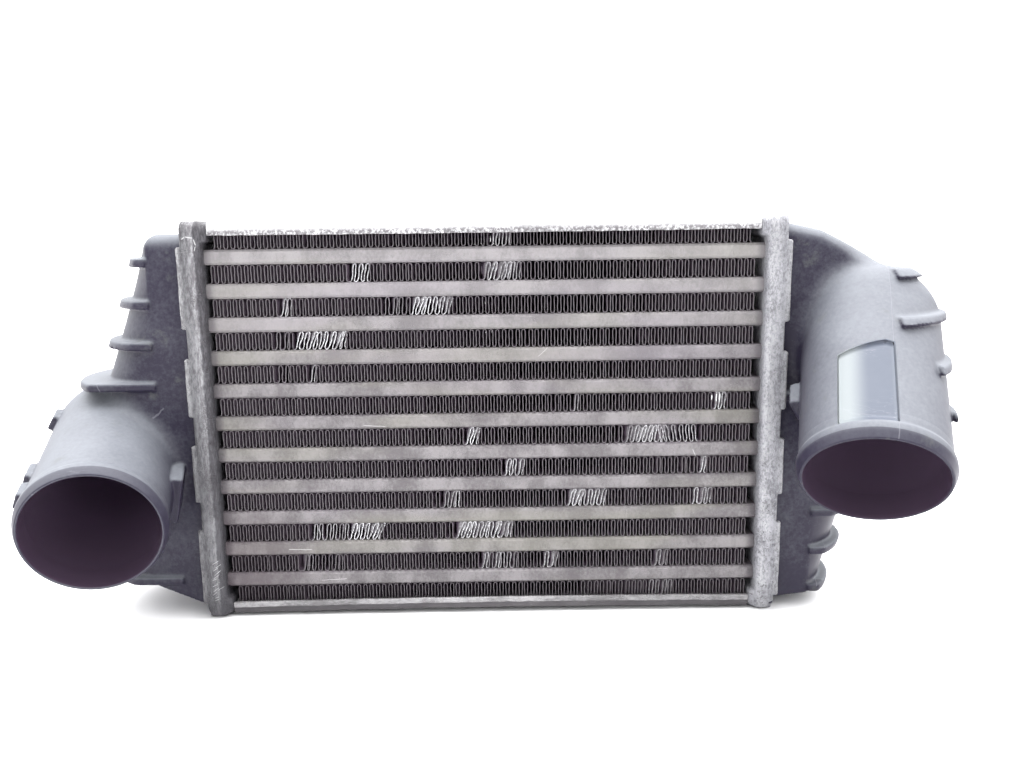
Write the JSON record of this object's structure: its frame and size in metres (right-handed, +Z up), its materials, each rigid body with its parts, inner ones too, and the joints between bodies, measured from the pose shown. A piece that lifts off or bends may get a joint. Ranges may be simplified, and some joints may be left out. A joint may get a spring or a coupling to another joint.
{
  "type": "intercooler",
  "caption": "Charge-air intercooler: brazed aluminium core of flat tubes and folded fins between two ribbed plastic tanks, each with a beaded hose spigot facing forward.",
  "frame": {"origin": "centre of the footprint's bounding box, on the surface the intercooler stands on", "axes": "+X along the core's width, towards the tank with the upper spigot; +Y from the spigots' side to the back; +Z up along the stack of tubes"},
  "size_m": [0.4364, 0.1485, 0.1932],
  "materials": {
    "tank_plastic": "glass-filled nylon, satin grain, dusty",
    "header_aluminium": "drawn sheet, scuffed and pitted",
    "gasket_rubber": "moulded rubber",
    "side_plate_aluminium": "rolled sheet, scratched lip",
    "tube_aluminium": "brazed sheet, dull, light oxide",
    "turbulator_aluminium": "brazed strip",
    "fin_aluminium": "folded strip, darkened, some folds bent"
  },
  "bodies": {
    "root": {"tank_left": "tank_plastic", "tank_right": "tank_plastic", "header_plate_left": "header_aluminium", "header_plate_right": "header_aluminium", "gasket_left": "gasket_rubber", "gasket_right": "gasket_rubber", "side_plate_top": "side_plate_aluminium", "side_plate_bottom": "side_plate_aluminium", "charge_tube_01": "tube_aluminium", "turbulator_01": "turbulator_aluminium", "charge_tube_02": "tube_aluminium", "turbulator_02": "turbulator_aluminium", "charge_tube_03": "tube_aluminium", "turbulator_03": "turbulator_aluminium", "charge_tube_04": "tube_aluminium", "turbulator_04": "turbulator_aluminium", "charge_tube_05": "tube_aluminium", "turbulator_05": "turbulator_aluminium", "charge_tube_06": "tube_aluminium", "turbulator_06": "turbulator_aluminium", "charge_tube_07": "tube_aluminium", "turbulator_07": "turbulator_aluminium", "charge_tube_08": "tube_aluminium", "turbulator_08": "turbulator_aluminium", "charge_tube_09": "tube_aluminium", "turbulator_09": "turbulator_aluminium", "charge_tube_10": "tube_aluminium", "turbulator_10": "turbulator_aluminium", "charge_tube_11": "tube_aluminium", "turbulator_11": "turbulator_aluminium", "air_fin_01": "fin_aluminium", "air_fin_02": "fin_aluminium", "air_fin_03": "fin_aluminium", "air_fin_04": "fin_aluminium", "air_fin_05": "fin_aluminium", "air_fin_06": "fin_aluminium", "air_fin_07": "fin_aluminium", "air_fin_08": "fin_aluminium", "air_fin_09": "fin_aluminium", "air_fin_10": "fin_aluminium", "air_fin_11": "fin_aluminium", "air_fin_12": "fin_aluminium"}
  },
  "joints": []
}
